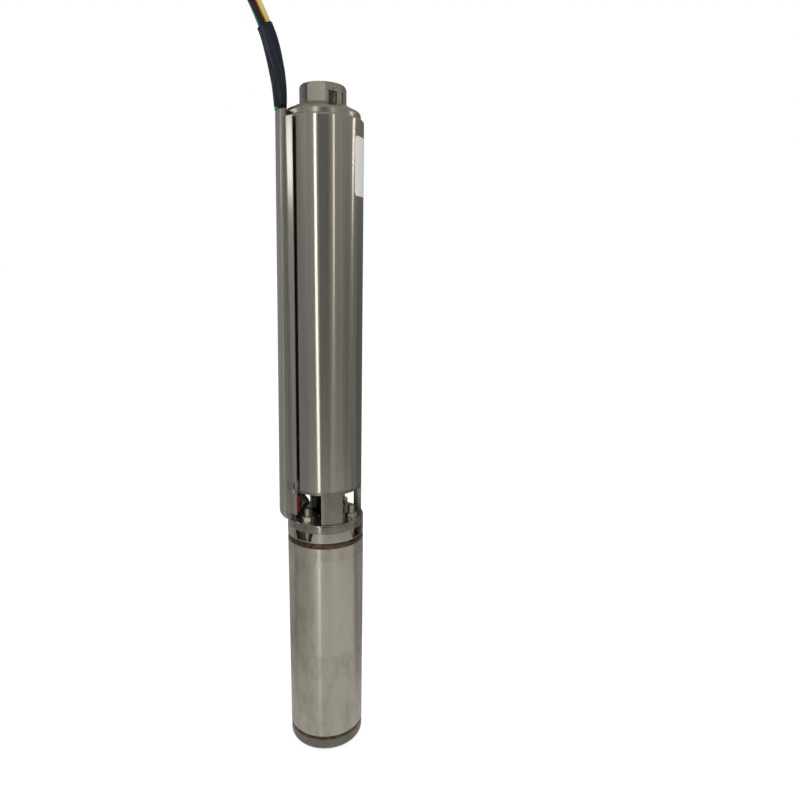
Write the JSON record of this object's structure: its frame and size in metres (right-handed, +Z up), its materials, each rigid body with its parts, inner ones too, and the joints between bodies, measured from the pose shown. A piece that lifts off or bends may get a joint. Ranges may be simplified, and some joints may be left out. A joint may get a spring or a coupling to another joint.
{
  "type": "borehole submersible pump",
  "caption": "Slim upright multistage pump end on a round motor, with side suction windows, cable guard, octagonal outlet, rope eyes and free motor leads.",
  "frame": {"origin": "centre of the motor's flat bottom, on the pump's axis", "axes": "+Z up the pump's axis to the outlet, cable guard on the -X side, a suction column towards -Y"},
  "size_m": [0.1425, 0.2484, 0.9625],
  "materials": {
    "casing_stainless": "brushed lengthwise, satin",
    "guard_stainless": "brushed sheet",
    "cast_stainless": "investment cast and turned",
    "motor_stainless": "drawn tube, matt",
    "weld_tint": "heat-tinted weld",
    "fastener_stainless": "turned",
    "spring_steel": "drawn wire",
    "machined_stainless": "turned and ground",
    "stage_polymer": "moulded",
    "impeller_polymer": "moulded",
    "black_rubber": "moulded",
    "carbon": "sintered carbon",
    "lamination_steel": "stacked laminations",
    "winding_copper": "varnished copper",
    "lead_black": "extruded insulation",
    "lead_red": "extruded insulation",
    "lead_yellow": "extruded insulation",
    "lead_green": "extruded insulation",
    "lead_bundle": "bundle of four insulated leads",
    "heat_shrink": "shrunk polyolefin"
  },
  "bodies": {
    "root": {"pump_casing": "casing_stainless", "cable_guard": "guard_stainless", "suction_interconnector": "cast_stainless", "discharge_head": "cast_stainless", "motor_upper_bell": "cast_stainless", "motor_lower_bell": "cast_stainless", "valve_seat": "cast_stainless", "valve_guide": "cast_stainless", "top_bearing_spider": "cast_stainless", "suction_plate": "cast_stainless", "motor_shell": "motor_stainless", "motor_base_cap": "motor_stainless", "shell_welds": "weld_tint", "motor_studs": "fastener_stainless", "stud_nuts": "fastener_stainless", "stud_washers": "fastener_stainless", "guard_screws": "fastener_stainless", "connector_nut": "fastener_stainless", "valve_spring": "spring_steel", "thrust_plate": "machined_stainless", "stator_can": "machined_stainless", "diffuser_1": "stage_polymer", "diffuser_2": "stage_polymer", "diffuser_3": "stage_polymer", "diffuser_4": "stage_polymer", "diffuser_5": "stage_polymer", "diffuser_6": "stage_polymer", "diffuser_7": "stage_polymer", "top_bush": "black_rubber", "diaphragm": "black_rubber", "shaft_seal": "black_rubber", "lead_connector": "black_rubber", "upper_motor_bearing": "carbon", "lower_motor_bearing": "carbon", "thrust_pads": "carbon", "stator_core": "lamination_steel", "stator_windings": "winding_copper", "lead_black": "lead_black", "lead_red": "lead_red", "lead_yellow": "lead_yellow", "lead_green": "lead_green", "free_leads": "lead_bundle", "lead_sleeve": "heat_shrink"},
    "rotor": {"pump_shaft": "machined_stainless", "shaft_sleeves": "machined_stainless", "shaft_nut": "fastener_stainless", "shaft_coupling": "machined_stainless", "motor_shaft": "machined_stainless", "rotor_core": "lamination_steel", "thrust_disc": "machined_stainless", "sand_slinger": "black_rubber", "impeller_1": "impeller_polymer", "impeller_2": "impeller_polymer", "impeller_3": "impeller_polymer", "impeller_4": "impeller_polymer", "impeller_5": "impeller_polymer", "impeller_6": "impeller_polymer", "impeller_7": "impeller_polymer"},
    "poppet": {"valve_poppet": "impeller_polymer", "valve_seal": "black_rubber"}
  },
  "joints": [
    {"name": "rotor_spin", "type": "hinge", "parent": "root", "child": "rotor", "pos_m": [0, 0, 0.3], "axis": [0, 0, 1], "continuous": true},
    {"name": "valve_lift", "type": "slide", "parent": "root", "child": "poppet", "axis": [0, 0, 1], "range_m": [0, 0.009], "stiffness_N_per_m": 120, "springref_m": -0.01, "deforming": ["valve_spring"]}
  ]
}
